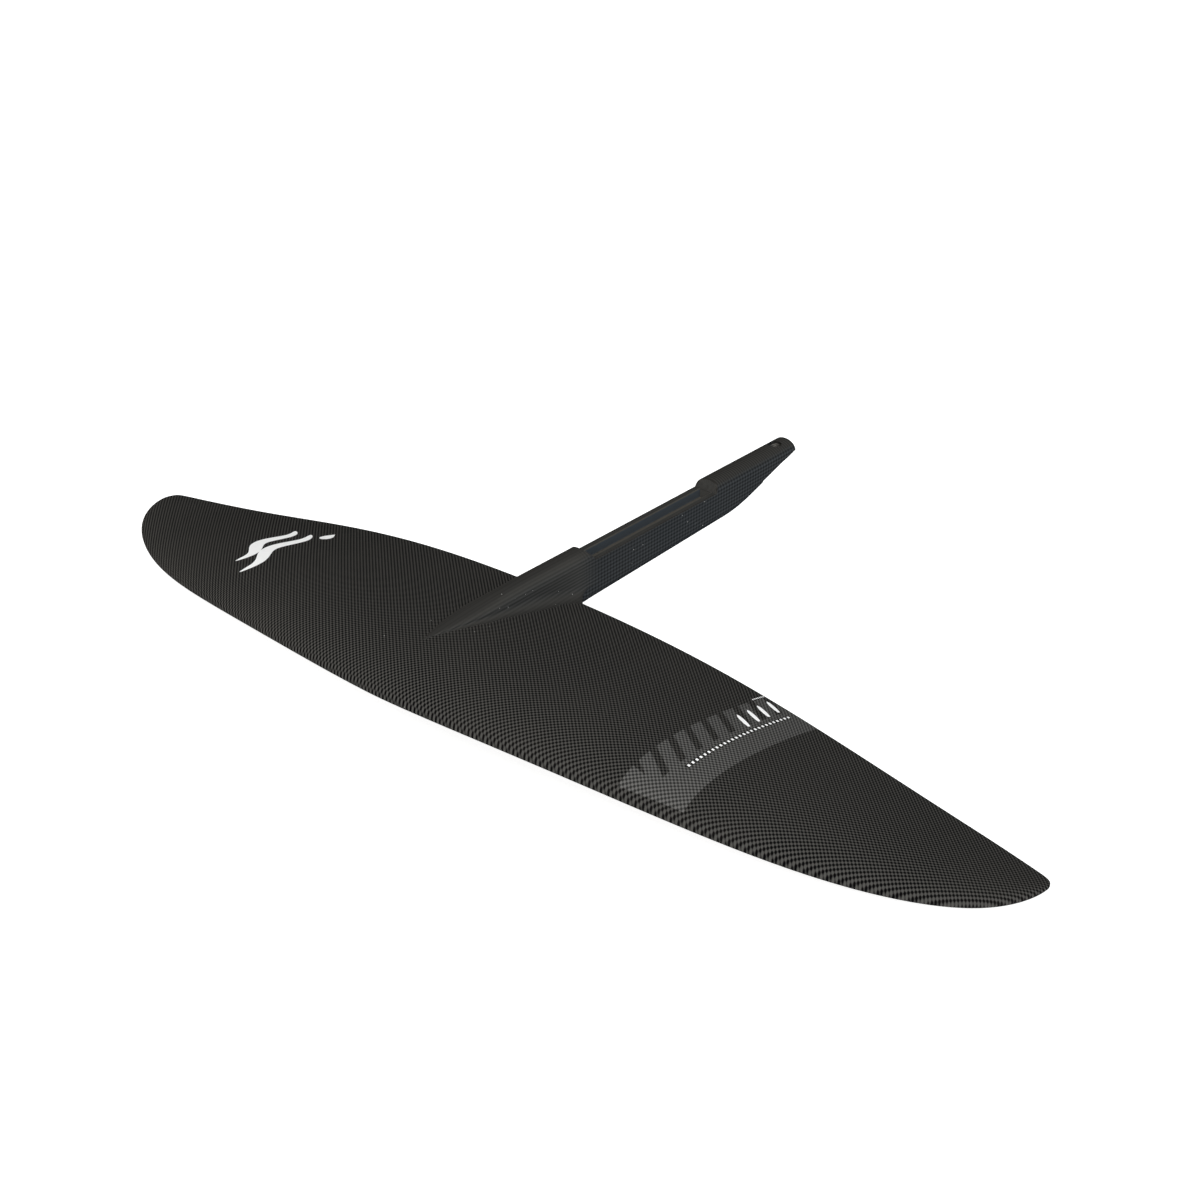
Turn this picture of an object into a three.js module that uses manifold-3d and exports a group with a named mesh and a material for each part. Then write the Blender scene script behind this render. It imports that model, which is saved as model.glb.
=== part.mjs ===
// Front wing of a hydrofoil with its fuselage moulded in one piece.
// Millimetres. +X is the span, -Y is the nose, +Y is the tail, +Z is up.
// The origin is the middle of the floor of the slot that takes the mast.
import * as THREE from 'three';
import { mergeVertices } from 'three/addons/utils/BufferGeometryUtils.js';
import Module from 'manifold-3d';

// ---------------------------------------------------------------- wing
const halfSpan = 435;
const rootChord = 191;
const chordTaper = 1.59;         // how far out the chord stays wide
const chordRound = 0.462;        // how round the tip is
const rootTrail = -104;          // trailing edge at the centreline
const sweep = 63.4;              // how far the tip lies behind the root
const tipRake = 10.6;            // extra sweep in the last stretch of the tip
const tipRakePower = 37;         // the higher, the shorter that stretch
const wingLevel = -13;           // chord plane at the root
const tipDrop = 51.2;            // how far the tip lies below the root
const dropStart = 1.34;          // above 1 the wing stays level further out
const upperHeight = 0.12;        // crown of the upper surface, as a share of the chord
const lowerDepth = 0.035;        // belly of the lower surface, as a share of the chord
const trailThickness = 1.2;

// ---------------------------------------------------------------- fuselage
const bodyWidth = 22;
const ridgeLevel = 16.5;
const domeHeight = 8.1;          // rounded top, from shoulder to ridge
const keelLevel = -24.6;         // underside below the mast
const keelRise = 0.0368;         // slope of the underside
const keelRadius = 10;
const tailEnd = 179.6;
const tailRise = 0.3;            // slope of the underside near the tail
const tailRiseRun = 75.1;        // from the bend in the underside to the tail end
const tailRiseBlend = 16;
const noseSetback = 47;          // from the leading edge to the tip of the upper fairing
const noseLength = 62;           // fairing grows to full width over this
const noseProud = 0.1;           // ridge starts this much above the skin
const ridgeRun = 117;            // ridge climbs over this length
const chinSetback = 59;          // from the leading edge to the tip of the lower fairing
const chinLength = 110;
const chinRise = 15.5;
const flareWidth = 13;           // fillet from fuselage side to upper skin
const flareRun = 112;
const flareHeight = 8;
const flareTail = 24;            // fillet behind the trailing edge, in plan
const lowerFlareHeight = 6;

// ---------------------------------------------------------------- mast seat
const seatLength = 147;
const slotWidth = 11;
const slotDepth = 7.5;
const frontRake = 7;             // lean of the front wall, seat to ridge
const rearRake = 4.6;
const mastScrewSpacing = 84;
const screwHole = 6.6;

// ---------------------------------------------------------------- stabiliser seat
const stabSeatLength = 43;
const stabSeatEndLevel = 8.9;    // seat plane at the tail end
const stabSeatSlope = 0.3125;
const stabScrewInset = 15;       // from the tail end to the screw's axis at the ridge
const stabHeadHole = 11;
const stabHeadDepth = 5;

// ---------------------------------------------------------------- laminate and inserts
const skin = 1.5;
const gap = 0.3;                 // bond line between pieces
const voidEnd = 0.866;           // cores reach this share of the half span
const noseFiller = [0.02, 0.055];
const frontCore = [0.055, 0.27];
const spar = [0.27, 0.4];
const rearCore = [0.4, 0.79];
const tailFiller = [0.79, 0.86];
const sparCap = 2;
const socketFrontWall = 17.5;    // solid laminate in front of the mast seat
const socketRearWall = 16.5;
const tailBlockLead = 13;        // solid laminate in front of the stabiliser seat
const bushWidth = 14;
const headHole = 12.4;           // clearance for a countersunk head
const slotFloor = 4;             // laminate between the slot's floor and a bush

// ---------------------------------------------------------------- sampling
const chordSteps = 12;
const spanSteps = 15;
const lastStation = 0.9996;
const far = 600;

// ---------------------------------------------------------------- places along Y
const rootLead = rootTrail - rootChord;
const noseStart = rootLead + noseSetback;
const chinStart = rootLead + chinSetback;
const tailRiseStart = tailEnd - tailRiseRun;
const stabSeatStart = tailEnd - stabSeatLength;
const stabScrewY = tailEnd - stabScrewInset;
const tailBlockFront = stabSeatStart - tailBlockLead;
const seatHalf = seatLength / 2;
const socketFront = -seatHalf - socketFrontWall;
const socketRear = seatHalf + socketRearWall;

const wasm = await Module();
wasm.setup();

// ================================================================ solids
function toSolid(geometry) {
  const bare = geometry.clone();
  bare.deleteAttribute('normal');
  bare.deleteAttribute('uv');
  const merged = mergeVertices(bare, 1e-4);
  return new wasm.Manifold(new wasm.Mesh({
    numProp: 3,
    vertProperties: new Float32Array(merged.attributes.position.array),
    triVerts: new Uint32Array(merged.index.array),
  }));
}

function toGeometry(solid) {
  const mesh = solid.getMesh();
  const geometry = new THREE.BufferGeometry();
  geometry.setAttribute('position', new THREE.BufferAttribute(mesh.vertProperties, 3));
  geometry.setIndex(new THREE.BufferAttribute(mesh.triVerts, 1));
  geometry.computeVertexNormals();
  return geometry;
}

// Skins a row of outlines, each a list of [x, y, z] with the same count, and closes both ends.
// flat gives the two coordinates of a point that lie in the outline's plane.
function loft(outlines, flat) {
  const count = outlines[0].length;
  const points = outlines.flat();
  const faces = [];
  for (let row = 0; row + 1 < outlines.length; row += 1) {
    for (let i = 0; i < count; i += 1) {
      const a = row * count + i;
      const b = row * count + (i + 1) % count;
      faces.push([a, a + count, b], [b, a + count, b + count]);
    }
  }
  for (const row of [0, outlines.length - 1]) {
    const ring = outlines[row].map((p) => new THREE.Vector2(...flat(p)));
    const turned = THREE.ShapeUtils.isClockWise(ring);
    for (const [a, b, c] of THREE.ShapeUtils.triangulateShape(ring, [])) {
      const face = [a, b, c].map((i) => row * count + i);
      faces.push((row === 0) === turned ? face.reverse() : face);
    }
  }
  const geometry = new THREE.BufferGeometry();
  geometry.setAttribute('position', new THREE.Float32BufferAttribute(points.flat(), 3));
  geometry.setIndex(faces.flat());
  return facingOut(geometry);
}

function facingOut(geometry) {
  const at = (i) => new THREE.Vector3().fromBufferAttribute(geometry.attributes.position, i);
  const index = geometry.index.array;
  let volume = 0;
  for (let i = 0; i < index.length; i += 3) {
    volume += at(index[i]).dot(at(index[i + 1]).cross(at(index[i + 2])));
  }
  if (volume < 0) index.reverse();
  return geometry;
}

function alongX(outlines) {
  return toSolid(loft(outlines, ([, y, z]) => [y, z]));
}

function alongY(outlines) {
  return toSolid(loft(outlines, ([x, , z]) => [x, z]));
}

function boxBetween(low, high) {
  const size = high.map((value, i) => value - low[i]);
  const geometry = new THREE.BoxGeometry(...size);
  geometry.translate(...low.map((value, i) => value + size[i] / 2));
  return toSolid(geometry);
}

// A prism across the body from an outline in the Y-Z plane.
function prismAcross(outline, width) {
  return alongX([-width / 2, width / 2].map((x) => outline.map(([y, z]) => [x, y, z])));
}

// A turned piece about Z, from [radius, height] pairs.
function turned(profile, sides = 32) {
  const points = profile.map(([radius, height]) => new THREE.Vector2(radius, height));
  const geometry = new THREE.LatheGeometry(points, sides);
  geometry.rotateX(Math.PI / 2);
  return toSolid(facingOut(geometry));
}

function rod(width, from, to) {
  return turned([[0, from], [width / 2, from], [width / 2, to], [0, to]]);
}

// ================================================================ wing surface
const clamp01 = (t) => Math.min(1, Math.max(0, t));
const smooth = (t) => clamp01(t) ** 2 * (3 - 2 * clamp01(t));
const chordAt = (u) => rootChord * (1 - u ** chordTaper) ** chordRound;
const middleAt = (u) => rootTrail - rootChord / 2 + sweep * u ** 2 + tipRake * u ** tipRakePower;
const levelAt = (u) => wingLevel - tipDrop * (1 - Math.cos(Math.PI * u ** dropStart)) / 2;

// Thickness along the chord, 0 at the leading edge and 1 at its thickest.
function fullness(s) {
  const root = 0.2969 * Math.sqrt(s);
  return 10 * (root - 0.126 * s - 0.3516 * s ** 2 + 0.2843 * s ** 3 - 0.1036 * s ** 4);
}

const chordGrid = Array.from({ length: chordSteps + 1 },
  (_, i) => (1 - Math.cos((Math.PI * i) / chordSteps)) / 2);

function wingPoint(x, s, side, depth) {
  const u = Math.abs(x) / halfSpan;
  const crown = side > 0 ? upperHeight : lowerDepth;
  const height = crown * chordAt(u) * fullness(s) + (trailThickness / 2) * s - depth;
  return [x, middleAt(u) + chordAt(u) * (s - 0.5), levelAt(u) + side * height];
}

// The faceted surface between two points of the chord grid.
function wingFacet(x, s, side, depth) {
  const next = Math.max(1, chordGrid.findIndex((value) => value >= s));
  const [a, b] = [chordGrid[next - 1], chordGrid[next]];
  const t = (s - a) / (b - a);
  const [low, high] = [wingPoint(x, a, side, depth), wingPoint(x, b, side, depth)];
  return low.map((value, i) => value + t * (high[i] - value));
}

function chordPoints(from, to) {
  return [from, ...chordGrid.filter((s) => s > from + 0.004 && s < to - 0.004), to];
}

const stations = Array.from({ length: spanSteps + 1 },
  (_, i) => Math.min(lastStation, Math.sin((Math.PI / 2) * (i / spanSteps))) * halfSpan);

// Span stations from one x to another, which may lie on both sides of the middle.
function stationsBetween(from, to) {
  const all = [...stations.slice(1).map((x) => -x).reverse(), ...stations];
  return [from, ...all.filter((x) => x > from + 3 && x < to - 3), to];
}

function wingBody() {
  const tip = halfSpan * lastStation;
  return alongX(stationsBetween(-tip, tip).map((x) => [
    ...chordGrid.map((s) => wingPoint(x, s, 1, 0)),
    ...chordGrid.slice(1).reverse().map((s) => wingPoint(x, s, -1, 0)),
  ]));
}

// A piece inside the wing: between two places along the chord and two depths,
// upper and lower, each a [side, depth] pair.
function insideWing([from, to], xFrom, xTo, upper, lower) {
  const places = chordPoints(from, to);
  return alongX(stationsBetween(xFrom, xTo).map((x) => [
    ...places.map((s) => wingFacet(x, s, ...upper)),
    ...places.slice().reverse().map((s) => wingFacet(x, s, ...lower)),
  ]));
}

// ================================================================ fuselage surface
const halfBody = bodyWidth / 2;

function keelAt(y) {
  const before = tailRiseStart - tailRiseBlend;
  const turn = clamp01((y - before) / (2 * tailRiseBlend));
  const straight = keelLevel + keelRise * y;
  const bend = (tailRise - keelRise) * tailRiseBlend * turn ** 2;
  const beyond = (tailRise - keelRise) * Math.max(0, y - tailRiseStart - tailRiseBlend);
  const chin = chinRise * clamp01((chinStart + chinLength - y) / chinLength) ** 2;
  return straight + bend + beyond + chin;
}

function ridgeAt(y) {
  const noseDrop = ridgeLevel - skinLevel(noseStart, 1) - noseProud;
  return ridgeLevel - noseDrop * (1 - clamp01((y - noseStart) / ridgeRun)) ** 2;
}

function widthAt(y) {
  return halfBody * (1 - (1 - clamp01((y - noseStart) / noseLength)) ** 1.5);
}

function flareAt(y) {
  const opening = clamp01((y - noseStart) / flareRun) ** 0.6;
  const closing = (1 - clamp01((y - rootTrail) / flareTail)) ** 2;
  return flareWidth * opening * closing;
}

function skinLevel(y, side) {
  const s = clamp01((y - rootLead) / rootChord);
  return wingPoint(0, s, side, 0)[2];
}

const arc = (count, draw) => Array.from({ length: count + 1 },
  (_, i) => draw((Math.PI / 2) * (i / count)));

// Half of the fuselage's section from the ridge down to the keel, as [x, z] pairs.
// Along the wing it flares out into both skins; behind the wing its sides are straight.
function bodySection(y, inset) {
  const half = Math.max(0.6, widthAt(y)) - inset;
  const flare = inset ? 0 : flareAt(y);
  const ridge = ridgeAt(y) - inset;
  const keel = keelAt(y) + inset;
  const behind = y >= rootTrail + flareTail;
  const sink = 0.3 * smooth((rootTrail - y) / 10);
  const above = Math.max(0.5, ridge - skinLevel(y, 1) + sink);
  const below = Math.max(0.5, skinLevel(y, -1) + sink - keel);
  const dome = behind ? domeHeight - inset : Math.min(domeHeight - inset, 0.55 * above);
  const shoulder = ridge - dome;
  const round = Math.min(keelRadius - inset, behind ? shoulder - keel - 2 : 0.65 * below);
  const chine = (behind ? keel : skinLevel(y, -1) + sink - below) + round;
  const top = behind ? (2 * shoulder + chine) / 3 : ridge - above;
  const bottom = behind ? (shoulder + 2 * chine) / 3 : chine - round + below;
  const upperFlare = Math.min(flareHeight, 0.8 * (shoulder - top));
  const lowerFlare = Math.min(lowerFlareHeight, 0.8 * (bottom - chine));
  const corner = Math.min(half - 0.4, keelRadius - inset);
  return [
    ...arc(5, (a) => [half * Math.sin(a), shoulder + dome * Math.cos(a)]),
    ...arc(3, (a) => [half + flare * (1 - Math.cos(a)), top + upperFlare * (1 - Math.sin(a))]),
    ...arc(3, (a) => [half + flare * (1 - Math.sin(a)), bottom - lowerFlare * (1 - Math.cos(a))]),
    ...arc(4, (a) => [half - corner * (1 - Math.cos(a)), chine - round * Math.sin(a)]),
  ];
}

function bodyStations(from, to) {
  const nose = [0, 3, 8, 15, 24, 34, 46, 62, 80, 98, 117, 134].map((d) => noseStart + d);
  const trail = [0, 0.1, 0.25, 0.45, 0.7, 1].map((t) => rootTrail + t * flareTail);
  const turn = [-1, -0.5, 0, 0.5, 1].map((t) => tailRiseStart + t * tailRiseBlend);
  const inner = [...nose, ...trail, ...turn].sort((a, b) => a - b);
  return [from, ...inner.filter((y) => y > from + 0.7 && y < to - 0.7), to];
}

function bodyBetween(from, to, inset) {
  return alongY(bodyStations(from, to).map((y) => {
    const right = bodySection(y, inset);
    const left = right.slice(1).reverse().map(([x, z]) => [-x, z]);
    return [...right, ...left].map(([x, z]) => [x, y, z]);
  }));
}

// ================================================================ cuts
// Everything above the seat, between the two leaning walls.
function mastNotch() {
  const top = 60;
  const up = (top - slotDepth) / (ridgeLevel - slotDepth);
  return prismAcross([
    [-seatHalf, slotDepth],
    [seatHalf, slotDepth],
    [seatHalf + rearRake * up, top],
    [-seatHalf - frontRake * up, top],
  ], 4 * bodyWidth);
}

function mastSlot() {
  const half = slotWidth / 2;
  return boxBetween([-half, -seatHalf + 0.6, 0], [half, seatHalf - 0.6, slotDepth + 5]);
}

const seatPlaneAt = (y) => stabSeatEndLevel - stabSeatSlope * (tailEnd - y);

// Everything below the stabiliser's seat; rise moves the cut into the body.
function stabiliserRecess(rise) {
  const lean = Math.hypot(1, stabSeatSlope);
  const front = stabSeatStart - rise * lean;
  const seat = (y) => seatPlaneAt(y) + rise * lean;
  const deep = 40;
  return prismAcross([
    [front, seat(front)],
    [front + stabSeatSlope * deep, seat(front) - deep],
    [tailEnd + deep, seat(front) - deep],
    [tailEnd + deep, seat(tailEnd + deep)],
  ], 4 * bodyWidth);
}

// Moves a piece turned about Z onto the stabiliser screw's axis: height 0 is the ridge.
function onStabiliserAxis(solid) {
  const lean = THREE.MathUtils.radToDeg(Math.atan(stabSeatSlope));
  return solid.rotate([lean, 0, 0]).translate([0, stabScrewY, ridgeLevel]);
}

// Everything below a surface that runs through both edges of the wing and rises to the tail.
function belowParting(offset) {
  const tip = halfSpan + 20;
  const xs = stationsBetween(-tip, tip);
  const rise = (y) => Math.max(0, seatPlaneAt(y) + 3.2 - wingLevel);
  const ys = [-far, stabSeatStart - 45, stabSeatStart, tailEnd + 30];
  return alongX(xs.map((x) => {
    const level = levelAt(Math.min(1, Math.abs(x) / halfSpan)) + offset;
    return [...ys.map((y) => [x, y, level + rise(y)]), [x, tailEnd + 30, -200], [x, -far, -200]];
  }));
}

// ================================================================ shell
const inner = skin + gap;
const voidHalf = voidEnd * halfSpan;

const outerBody = wingBody()
  .add(bodyBetween(noseStart, tailEnd, 0))
  .subtract(stabiliserRecess(0));

const hollow = insideWing([noseFiller[0], tailFiller[1]], -voidHalf, voidHalf, [1, skin], [-1, skin])
  .add(bodyBetween(coreFront(), tailEnd - skin, skin).subtract(stabiliserRecess(skin)));

function coreFront() {
  return rootLead + rootChord * spar[1] + gap;
}

function skins() {
  const mastHoles = screwPlaces().map((y) => rod(headHole, -60, 0).translate([0, y, 0]));
  const stabHole = onStabiliserAxis(rod(screwHole, -40, 0));
  const stabHead = onStabiliserAxis(rod(stabHeadHole, -stabHeadDepth, 20));
  const shell = outerBody.subtract(hollow).subtract(mastNotch());
  const upper = shell.subtract(belowParting(gap / 2)).subtract(stabHead).subtract(stabHole);
  const lower = shell.intersect(belowParting(-gap / 2));
  return { upper, lower: wasm.Manifold.difference([lower, stabHole, ...mastHoles]) };
}

function screwPlaces() {
  return [-mastScrewSpacing / 2, mastScrewSpacing / 2];
}

// ================================================================ cores and spar
function wingCore(span, side, start) {
  const x = [start, voidHalf - gap].map((value) => side * value).sort((a, b) => a - b);
  const trimmed = [span[0] + gap / rootChord, span[1] - gap / rootChord];
  return insideWing(trimmed, ...x, [1, inner], [-1, inner]);
}

function sparPiece(upper, lower) {
  const end = voidHalf - gap;
  const trimmed = [spar[0] + gap / rootChord, spar[1] - gap / rootChord];
  return insideWing(trimmed, -end, end, upper, lower);
}

// ================================================================ inserts
function mastSocket() {
  const block = bodyBetween(socketFront, socketRear, inner);
  const holes = screwPlaces().flatMap((y) => [
    rod(bushWidth + 2 * gap, -60, -slotFloor).translate([0, y, 0]),
    rod(screwHole, -60, 20).translate([0, y, 0]),
  ]);
  return wasm.Manifold.difference([block, mastNotch(), mastSlot(), ...holes]);
}

// Sleeve around a mast screw, let in from below and countersunk for its head.
function mastBush(y) {
  const outer = bushWidth / 2;
  const bore = screwHole / 2;
  const corner = keelRadius - inner;
  const reach = outer - (halfBody - keelRadius);
  const base = keelAt(y + outer) + inner + gap + corner - Math.sqrt(corner ** 2 - reach ** 2);
  const head = headHole / 2;
  return turned([
    [head, base],
    [outer, base],
    [outer, -slotFloor - gap],
    [bore, -slotFloor - gap],
    [bore, base + head - bore],
    [head, base],
  ]).translate([0, y, 0]);
}

function tailBlock() {
  const block = bodyBetween(tailBlockFront, tailEnd - inner, inner);
  const hole = onStabiliserAxis(rod(bushWidth + 2 * gap, -60, 30));
  return block.subtract(stabiliserRecess(inner)).subtract(hole);
}

// Sleeve around the stabiliser screw, between the two skins.
function stabiliserBush() {
  const head = stabHeadHole / 2;
  const bore = screwHole / 2;
  const sleeve = turned([
    [bore, -30],
    [bushWidth / 2, -30],
    [bushWidth / 2, 10],
    [head, 10],
    [head, -stabHeadDepth],
    [bore, -stabHeadDepth],
    [bore, -30],
  ]);
  const room = bodyBetween(tailBlockFront, tailEnd - inner, inner).subtract(stabiliserRecess(inner));
  return onStabiliserAxis(sleeve).intersect(room);
}

// ================================================================ assembly
const finishes = {
  carbon: { color: 0x303236, roughness: 0.35, metalness: 0.1 },
  laminate: { color: 0x26282b, roughness: 0.5, metalness: 0.1 },
  foam: { color: 0xd9cfae, roughness: 0.95, metalness: 0 },
  roving: { color: 0x1c1d1f, roughness: 0.6, metalness: 0 },
  steel: { color: 0xb9bcc0, roughness: 0.3, metalness: 0.9 },
};

const wing = new THREE.Group();

function addPiece(name, solid, finish) {
  const mesh = new THREE.Mesh(toGeometry(solid), new THREE.MeshStandardMaterial(finishes[finish]));
  mesh.name = name;
  wing.add(mesh);
}

const { upper, lower } = skins();
addPiece('upper_skin', upper, 'carbon');
addPiece('lower_skin', lower, 'carbon');

addPiece('spar_cap_upper', sparPiece([1, inner], [1, inner + sparCap]), 'laminate');
addPiece('spar_cap_lower', sparPiece([-1, inner + sparCap], [-1, inner]), 'laminate');
addPiece('spar_core', sparPiece([1, inner + sparCap + gap], [-1, inner + sparCap + gap]), 'foam');

const besideBody = halfBody - skin;
for (const [name, side] of [['left', -1], ['right', 1]]) {
  addPiece(`leading_edge_filler_${name}`, wingCore(noseFiller, side, gap / 2), 'roving');
  addPiece(`front_core_${name}`, wingCore(frontCore, side, gap / 2), 'foam');
  addPiece(`rear_core_${name}`, wingCore(rearCore, side, besideBody), 'foam');
  addPiece(`trailing_edge_filler_${name}`, wingCore(tailFiller, side, besideBody), 'roving');
}

addPiece('fuselage_core_front', bodyBetween(coreFront() + gap, socketFront - gap, inner), 'foam');
addPiece('mast_socket', mastSocket(), 'laminate');
addPiece('fuselage_core_rear', bodyBetween(socketRear + gap, tailBlockFront - gap, inner), 'foam');
addPiece('tail_block', tailBlock(), 'laminate');

screwPlaces().forEach((y, i) => addPiece(`mast_screw_bush_${i + 1}`, mastBush(y), 'steel'));
addPiece('stabiliser_screw_bush', stabiliserBush(), 'steel');

export default wing;
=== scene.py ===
import math

import bmesh
import bpy
import numpy as np
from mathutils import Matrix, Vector

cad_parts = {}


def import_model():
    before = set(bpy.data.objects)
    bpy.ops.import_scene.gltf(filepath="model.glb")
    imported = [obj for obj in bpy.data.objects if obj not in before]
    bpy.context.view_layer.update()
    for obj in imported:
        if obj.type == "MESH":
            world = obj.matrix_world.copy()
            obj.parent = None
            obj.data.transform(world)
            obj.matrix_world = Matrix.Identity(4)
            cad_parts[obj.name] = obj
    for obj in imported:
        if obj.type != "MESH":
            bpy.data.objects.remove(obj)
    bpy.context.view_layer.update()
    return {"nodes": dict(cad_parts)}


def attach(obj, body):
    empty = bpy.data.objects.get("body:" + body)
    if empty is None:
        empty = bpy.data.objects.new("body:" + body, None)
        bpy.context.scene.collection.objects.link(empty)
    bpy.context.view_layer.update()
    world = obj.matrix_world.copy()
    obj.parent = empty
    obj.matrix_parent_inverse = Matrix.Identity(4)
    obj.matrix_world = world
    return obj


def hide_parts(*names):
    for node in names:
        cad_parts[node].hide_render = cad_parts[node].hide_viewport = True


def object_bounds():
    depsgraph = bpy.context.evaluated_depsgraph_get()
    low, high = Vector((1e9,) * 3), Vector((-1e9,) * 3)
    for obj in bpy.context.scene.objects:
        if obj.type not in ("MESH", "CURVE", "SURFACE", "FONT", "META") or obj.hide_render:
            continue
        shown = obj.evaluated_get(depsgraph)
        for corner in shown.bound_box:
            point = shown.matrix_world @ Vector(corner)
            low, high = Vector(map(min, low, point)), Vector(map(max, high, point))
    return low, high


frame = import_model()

# ---------------------------------------------------------------- moulded shape
# Both skins come out of one mould, so they share the same outside: a swept wing with drooping
# tips, and a slim fuselage that flares into it. Sizes are in millimetres and each mesh is
# scaled to metres as it is made.
mm = 0.001
half_span = 435
root_chord = 191
chord_taper = 1.59  # how far out the chord stays wide
chord_round = 0.462  # how round the tip is
root_trail = -104  # trailing edge at the centreline
sweep = 63.4  # how far the tip lies behind the root
tip_rake = 10.6  # extra sweep in the last stretch of the tip
tip_rake_power = 37  # the higher, the shorter that stretch
wing_level = -13  # chord plane at the root
tip_drop = 51.2
drop_start = 1.34  # above 1 the wing stays level further out
upper_height = 0.12  # crown of the upper surface, as a share of the chord
lower_depth = 0.035
trail_thickness = 1.2

body_width = 22
half_body = body_width / 2
ridge_level = 16.5
dome_height = 8.1
keel_level = -24.6
keel_rise = 0.0368  # slope of the underside
keel_radius = 10
tail_end = 179.6
tail_rise = 0.3  # slope of the underside near the tail
tail_rise_start = tail_end - 75.1
tail_rise_blend = 16
root_lead = root_trail - root_chord
nose_start = root_lead + 47
nose_length = 62
nose_round = 1.5
nose_proud = 0.1
ridge_run = 117
chin_start = root_lead + 59
chin_length = 110
chin_rise = 15.5
flare_width = 13  # fillet from the fuselage's side to the upper skin
flare_run = 112
flare_opening = 0.6
flare_height = 8
flare_tail = 24
lower_flare_height = 6
flare_share = 0.8  # most of a side that a fillet may take
dome_share = 0.55
curl_share = 0.65
least_half_width = 0.6
least_height = 0.5
least_side = 2
least_flat = 0.4
root_sink = 0.3  # how far the fillets reach into the wing
root_sink_run = 10

skin = 1.5
chord_steps = 60
span_steps = 150
tip_end = 0.999998  # the tip stops just short of a point
weld = 1e-7
round_sides = 72


def clamp01(t):
    return min(1.0, max(0.0, t))


def smooth(t):
    return clamp01(t) ** 2 * (3 - 2 * clamp01(t))


def chord_at(u):
    return root_chord * (1 - u**chord_taper) ** chord_round


def middle_at(u):
    return root_trail - root_chord / 2 + sweep * u**2 + tip_rake * u**tip_rake_power


def level_at(u):
    return wing_level - tip_drop * (1 - math.cos(math.pi * u**drop_start)) / 2


def fullness(s):
    root = 0.2969 * math.sqrt(s)
    return 10 * (root - 0.126 * s - 0.3516 * s**2 + 0.2843 * s**3 - 0.1036 * s**4)


def wing_point(x, s, side, depth=0.0):
    u = abs(x) / half_span
    crown = upper_height if side > 0 else lower_depth
    height = crown * chord_at(u) * fullness(s) + trail_thickness / 2 * s - depth
    return (x, middle_at(u) + chord_at(u) * (s - 0.5), level_at(u) + side * height)


def skin_level(y, side):
    return wing_point(0, clamp01((y - root_lead) / root_chord), side)[2]


def keel_at(y):
    turn = clamp01((y - tail_rise_start + tail_rise_blend) / (2 * tail_rise_blend))
    bend = (tail_rise - keel_rise) * tail_rise_blend * turn**2
    beyond = (tail_rise - keel_rise) * max(0, y - tail_rise_start - tail_rise_blend)
    chin = chin_rise * clamp01((chin_start + chin_length - y) / chin_length) ** 2
    return keel_level + keel_rise * y + bend + beyond + chin


nose_drop = ridge_level - skin_level(nose_start, 1) - nose_proud


def ridge_at(y):
    return ridge_level - nose_drop * (1 - clamp01((y - nose_start) / ridge_run)) ** 2


def width_at(y):
    return half_body * (1 - (1 - clamp01((y - nose_start) / nose_length)) ** nose_round)


def flare_at(y):
    opening = clamp01((y - nose_start) / flare_run) ** flare_opening
    closing = (1 - clamp01((y - root_trail) / flare_tail)) ** 2
    return flare_width * opening * closing


def quarter(count, draw):
    return [draw(math.pi / 2 * i / count) for i in range(count + 1)]


# Half of the fuselage's section from the ridge down to the keel, as (x, z) pairs.
def body_section(y, inset=0.0):
    half = max(least_half_width, width_at(y)) - inset
    flare = 0 if inset else flare_at(y)
    ridge, keel = ridge_at(y) - inset, keel_at(y) + inset
    behind = y >= root_trail + flare_tail
    sink = root_sink * smooth((root_trail - y) / root_sink_run)
    above = max(least_height, ridge - skin_level(y, 1) + sink)
    below = max(least_height, skin_level(y, -1) + sink - keel)
    dome = dome_height - inset if behind else min(dome_height - inset, dome_share * above)
    shoulder = ridge - dome
    curl = min(keel_radius - inset, shoulder - keel - least_side if behind else curl_share * below)
    chine = (keel if behind else skin_level(y, -1) + sink - below) + curl
    top = (2 * shoulder + chine) / 3 if behind else ridge - above
    bottom = (shoulder + 2 * chine) / 3 if behind else chine - curl + below
    upper = min(flare_height, flare_share * (shoulder - top))
    lower = min(lower_flare_height, flare_share * (bottom - chine))
    corner = min(half - least_flat, keel_radius - inset)

    def over_dome(a):
        return half * math.sin(a), shoulder + dome * math.cos(a)

    def upper_fillet(a):
        return half + flare * (1 - math.cos(a)), top + upper * (1 - math.sin(a))

    def lower_fillet(a):
        return half + flare * (1 - math.sin(a)), bottom - lower * (1 - math.cos(a))

    def round_keel(a):
        return half - corner * (1 - math.cos(a)), chine - curl * math.sin(a)

    return (
        quarter(24, over_dome) + quarter(14, upper_fillet)
        + quarter(10, lower_fillet) + quarter(16, round_keel)
    )


# A closed solid from rings of points with the same count.
def loft(name, rings):
    count = len(rings[0])
    faces = []
    for row in range(len(rings) - 1):
        for i in range(count):
            a, b = row * count + i, row * count + (i + 1) % count
            faces.append((a, a + count, b + count, b))
    last = (len(rings) - 1) * count
    faces += [tuple(range(count)), tuple(last + i for i in reversed(range(count)))]
    return solid(name, [p for ring in rings for p in ring], faces)


def solid(name, points, faces):
    mesh = bpy.data.meshes.new(name)
    mesh.from_pydata([tuple(c * mm for c in p) for p in points], [], faces)
    form = bmesh.new()
    form.from_mesh(mesh)
    bmesh.ops.remove_doubles(form, verts=form.verts, dist=weld)
    bmesh.ops.recalc_face_normals(form, faces=form.faces)
    form.to_mesh(mesh)
    form.free()
    made = bpy.data.objects.new(name, mesh)
    bpy.context.scene.collection.objects.link(made)
    return made


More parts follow.
